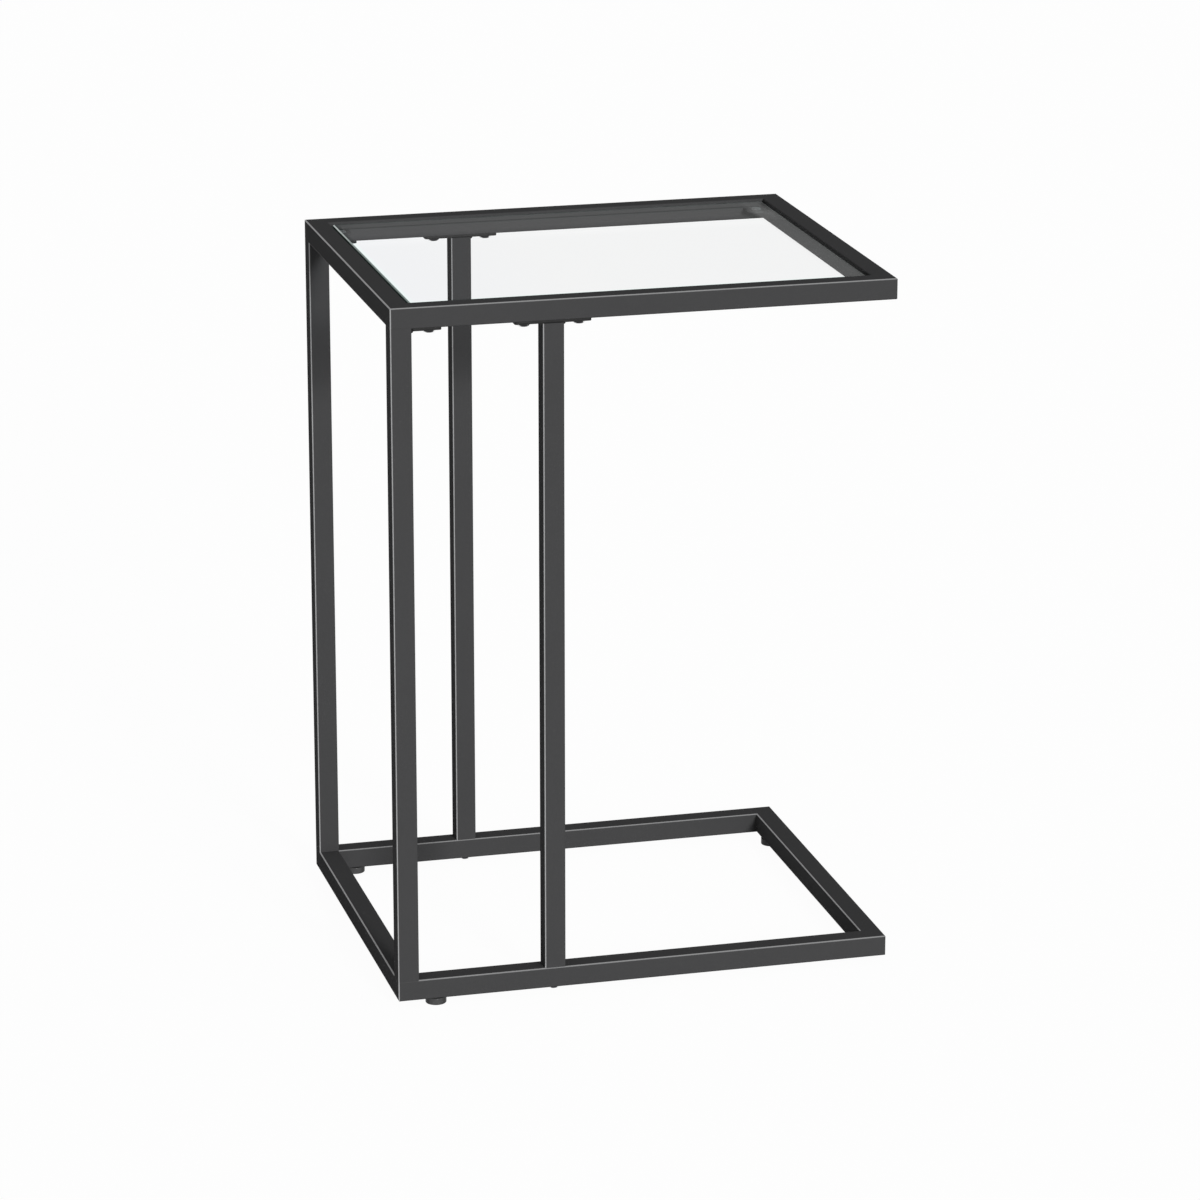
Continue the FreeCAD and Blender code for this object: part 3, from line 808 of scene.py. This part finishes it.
def make_base_screws(coat):
    """Two screws up through the floor frame into the centre posts."""
    for end in ENDS:
        x, y = middle_of("centre_post_" + end)
        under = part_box("base_rail_" + end)[0].z
        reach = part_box("base_bolts")[1].z - under
        make_button_screw("base_screw_" + end, x, y, under, reach, coat, ["base_bolts"])


def make_support(corner, coat):
    """A small corner shelf under the glass, its free corner cut off."""
    node = "glass_support_" + corner
    low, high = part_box(node)
    shelf = add_block("glass_shelf_" + corner, low, high)
    inner_x = low.x if low.x > 0 else high.x
    inner_y = low.y if low.y > 0 else high.y

    def is_free_corner(start, end):
        if not is_upright(start, end):
            return False
        return abs(start.x - inner_x) < SAME_PLACE and abs(start.y - inner_y) < SAME_PLACE

    bevel_edges(shelf, is_free_corner, SUPPORT_CUT, 1)
    for level in (low.z, high.z):
        bevel_edges(shelf, is_rim(level), PLATE_EDGE, 2)
    finish_piece(shelf, "frame", [coat], [node])


def make_clear_bumper(corner, coat):
    """A stick-on clear dome that keeps the glass off its shelf."""
    node = "glass_bumper_" + corner
    low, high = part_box(node)
    x, y = middle_of(node)
    radius = (high.x - low.x) / 2
    edge = BUMPER_EDGE
    rings = [(radius, low.z), (radius, low.z + BUMPER_SKIRT)]
    rings += arc_rings(radius - edge, high.z - edge, edge, edge, 0, 90, 6)
    dome = turn_on_lathe("clear_bumper_" + corner, x, y, rings)
    finish_piece(dome, "frame", [coat], [node])


def make_foot(corner, coat, zinc):
    """A levelling foot: a moulded glide, hollowed a little at both ends, on a threaded stud."""
    low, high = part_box("foot_pad_" + corner)
    x, y = middle_of("foot_pad_" + corner)
    radius = (high.x - low.x) / 2
    edge = FOOT_EDGE
    neck = FOOT_TOP_EDGE
    rings = [(radius * FOOT_SOLE_MIDDLE, low.z + FOOT_SOLE_HOLLOW)]
    rings += [(radius - FOOT_SOLE_RIM, low.z)]
    rings += arc_rings(radius - edge, low.z + edge, edge, edge, -80, 0, 8)
    rings += arc_rings(radius - neck, high.z - neck, neck, neck, 0, 90, 4)
    rings += [(radius * FOOT_TOP_MOUTH, high.z)]
    rings += [(radius * FOOT_TOP_MIDDLE, high.z - FOOT_TOP_HOLLOW)]
    pad = turn_on_lathe("foot_glide_" + corner, x, y, rings, 64)
    body = "foot_" + corner
    finish_piece(pad, body, [coat], ["foot_pad_" + corner])
    stud_low, stud_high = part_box("foot_stud_" + corner)
    stud = cut_thread("foot_screw_" + corner, x, y, stud_low.z, stud_high.z)
    finish_piece(stud, body, [zinc], ["foot_stud_" + corner])


def make_weld(name, x, y_low, y_high, height, coat):
    """A rippled fillet bead along Y, laid in the corner where two faces meet."""
    deselect_all()
    bpy.ops.mesh.primitive_circle_add(
        vertices=BEAD_SIDES,
        radius=BEAD_RADIUS * BEAD_END,
        fill_type="NGON",
        location=(x, y_low, height),
        rotation=(math.pi / 2, 0, 0),
    )
    bead = settle(bpy.context.active_object, name)
    open_mesh(bead, "FACE")
    bpy.ops.mesh.select_all(action="SELECT")
    count = int((y_high - y_low) / (BEAD_RIPPLE / 2))
    step = (y_high - y_low) / count
    size = BEAD_END
    for index in range(1, count + 1):
        bpy.ops.mesh.extrude_region_move(TRANSFORM_OT_translate={"value": (0, step, 0)})
        next_size = BEAD_CREST if index % 2 else BEAD_VALLEY
        if index == count:
            next_size = BEAD_END
        ratio = next_size / size
        place = (x, y_low + index * step, height)
        bpy.ops.transform.resize(value=(ratio, 1, ratio), center_override=place)
        size = next_size
    close_mesh()
    fix_normals(bead)
    finish_piece(bead, "frame", [coat], crease=60)


def make_welds(coat):
    """Beads under the joining plates and tabs, against the posts."""
    for end in ENDS:
        post_low, post_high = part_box("centre_post_" + end)
        plate_low, plate_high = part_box("centre_plate_" + end)
        height = plate_low.z
        y_low = plate_low.y + MM
        y_high = plate_high.y - MM
        make_weld("weld_plate_left_" + end, post_low.x, y_low, y_high, height, coat)
        make_weld("weld_plate_right_" + end, post_high.x, y_low, y_high, height, coat)
        tab_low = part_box("corner_tab_" + end)[0]
        make_weld("weld_tab_" + end, tab_low.x, y_low, y_high, height, coat)


def coat_frame(steel, zinc):
    """Coats the rails, posts, plugs and rivet nuts that keep their own solids."""
    for name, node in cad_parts.items():
        if node.hide_render:
            continue
        coat = zinc if "nuts" in name else steel
        for material_slot in node.material_slots:
            material_slot.material = coat


# ---------------------------------------------------------------- floor, light and camera


def make_floor_coat():
    """Pale paper that looks white to the camera and keeps the table's shadow."""
    coat = Coat("pale_floor")
    path = coat.add("LightPath")
    direct = path.outputs["Is Camera Ray"]
    mirrored = path.outputs["Is Glossy Ray"]
    through = path.outputs["Is Transmission Ray"]
    seen = coat.math("MAXIMUM", coat.math("MAXIMUM", direct, mirrored), through)
    paper = coat.add("BsdfDiffuse", Color=(0.86, 0.86, 0.86, 1))
    white = coat.add("Emission", Color=(1, 1, 1, 1), Strength=1.0)
    whiteness = coat.math("MULTIPLY", seen, FLOOR_WHITENESS)
    return coat.show(coat.mix_shaders(whiteness, paper, white))


def make_floor():
    """A pale floor that curves up into a low rim far away."""
    radius, height = FLOOR_RADIUS, 0.0
    floor = add_disc("studio_floor", 0, 0, height, radius, FLOOR_SIDES)
    open_mesh(floor, "EDGE")
    bpy.ops.mesh.select_all(action="SELECT")
    width = FLOOR_RIM_WIDTH
    rise = FLOOR_RIM_HEIGHT
    for next_radius, next_height in arc_rings(radius, rise, width, rise, -80, 0, 8):
        step = (0, 0, next_height - height)
        bpy.ops.mesh.extrude_edges_move(TRANSFORM_OT_translate={"value": step})
        ratio = next_radius / radius
        centre = (0, 0, next_height)
        bpy.ops.transform.resize(value=(ratio, ratio, 1), center_override=centre)
        radius, height = next_radius, next_height
    close_mesh()
    pick(floor)
    bpy.ops.object.shade_smooth_by_angle(angle=math.radians(30))
    floor.data.materials.append(make_floor_coat())


def aim(thing, target):
    """Turns a lamp towards a point."""
    direction = Vector(target) - thing.location
    thing.rotation_mode = "QUATERNION"
    thing.rotation_quaternion = direction.to_track_quat("-Z", "Y")


def add_key():
    """A far, broad light that is equally strong over the whole table."""
    bpy.ops.object.light_add(type="SUN", location=KEY_PLACE)
    lamp = bpy.context.active_object
    lamp.name = "front_key"
    lamp.data.energy = KEY_POWER
    lamp.data.angle = KEY_SPREAD
    aim(lamp, LIT_POINT)


def add_strip():
    """A long softbox overhead that the camera doesn't see."""
    bpy.ops.object.light_add(type="AREA", location=STRIP_PLACE)
    lamp = bpy.context.active_object
    lamp.name = "overhead_strip"
    lamp.data.shape = "RECTANGLE"
    lamp.data.size = STRIP_WIDTH
    lamp.data.size_y = STRIP_HEIGHT
    lamp.data.energy = STRIP_POWER
    lamp.visible_camera = False
    aim(lamp, LIT_POINT)


def make_room():
    """Even grey light from all round."""
    world = bpy.data.worlds.new("soft_room")
    bpy.context.scene.world = world
    world.use_nodes = True
    background = world.node_tree.nodes["Background"]
    background.inputs["Color"].default_value = (ROOM_GREY, ROOM_GREY, ROOM_GREY, 1)
    background.inputs["Strength"].default_value = 1.0


def make_camera():
    """A long lens from the front left, looking a little down."""
    bpy.ops.object.camera_add(location=CAMERA_PLACE)
    camera = bpy.context.active_object
    camera.rotation_euler = (math.pi / 2 - CAMERA_PITCH, 0, -CAMERA_YAW)
    camera.data.lens = CAMERA_LENS
    camera.data.sensor_width = CAMERA_SENSOR
    camera.data.clip_start = 0.1
    camera.data.clip_end = 100
    bpy.context.scene.camera = camera


# ---------------------------------------------------------------- the table, dressed

steel = make_powder_coat()
oxide = make_black_oxide()
zinc = make_zinc()
plate_black = make_plate_black()
moulding = make_foot_plastic()
bumper = make_bumper()

make_glass_panel(make_glass_sheet(), make_ground_edge(), make_green_edge())
make_joining_plates(plate_black)
make_top_screws(oxide)
make_base_screws(oxide)
make_welds(plate_black)
for corner in CORNERS:
    make_support(corner, steel)
    make_clear_bumper(corner, bumper)
    make_foot(corner, moulding, zinc)
coat_frame(steel, zinc)

make_floor()
make_room()
add_key()
add_strip()
make_camera()
bpy.context.scene.view_settings.view_transform = "Standard"
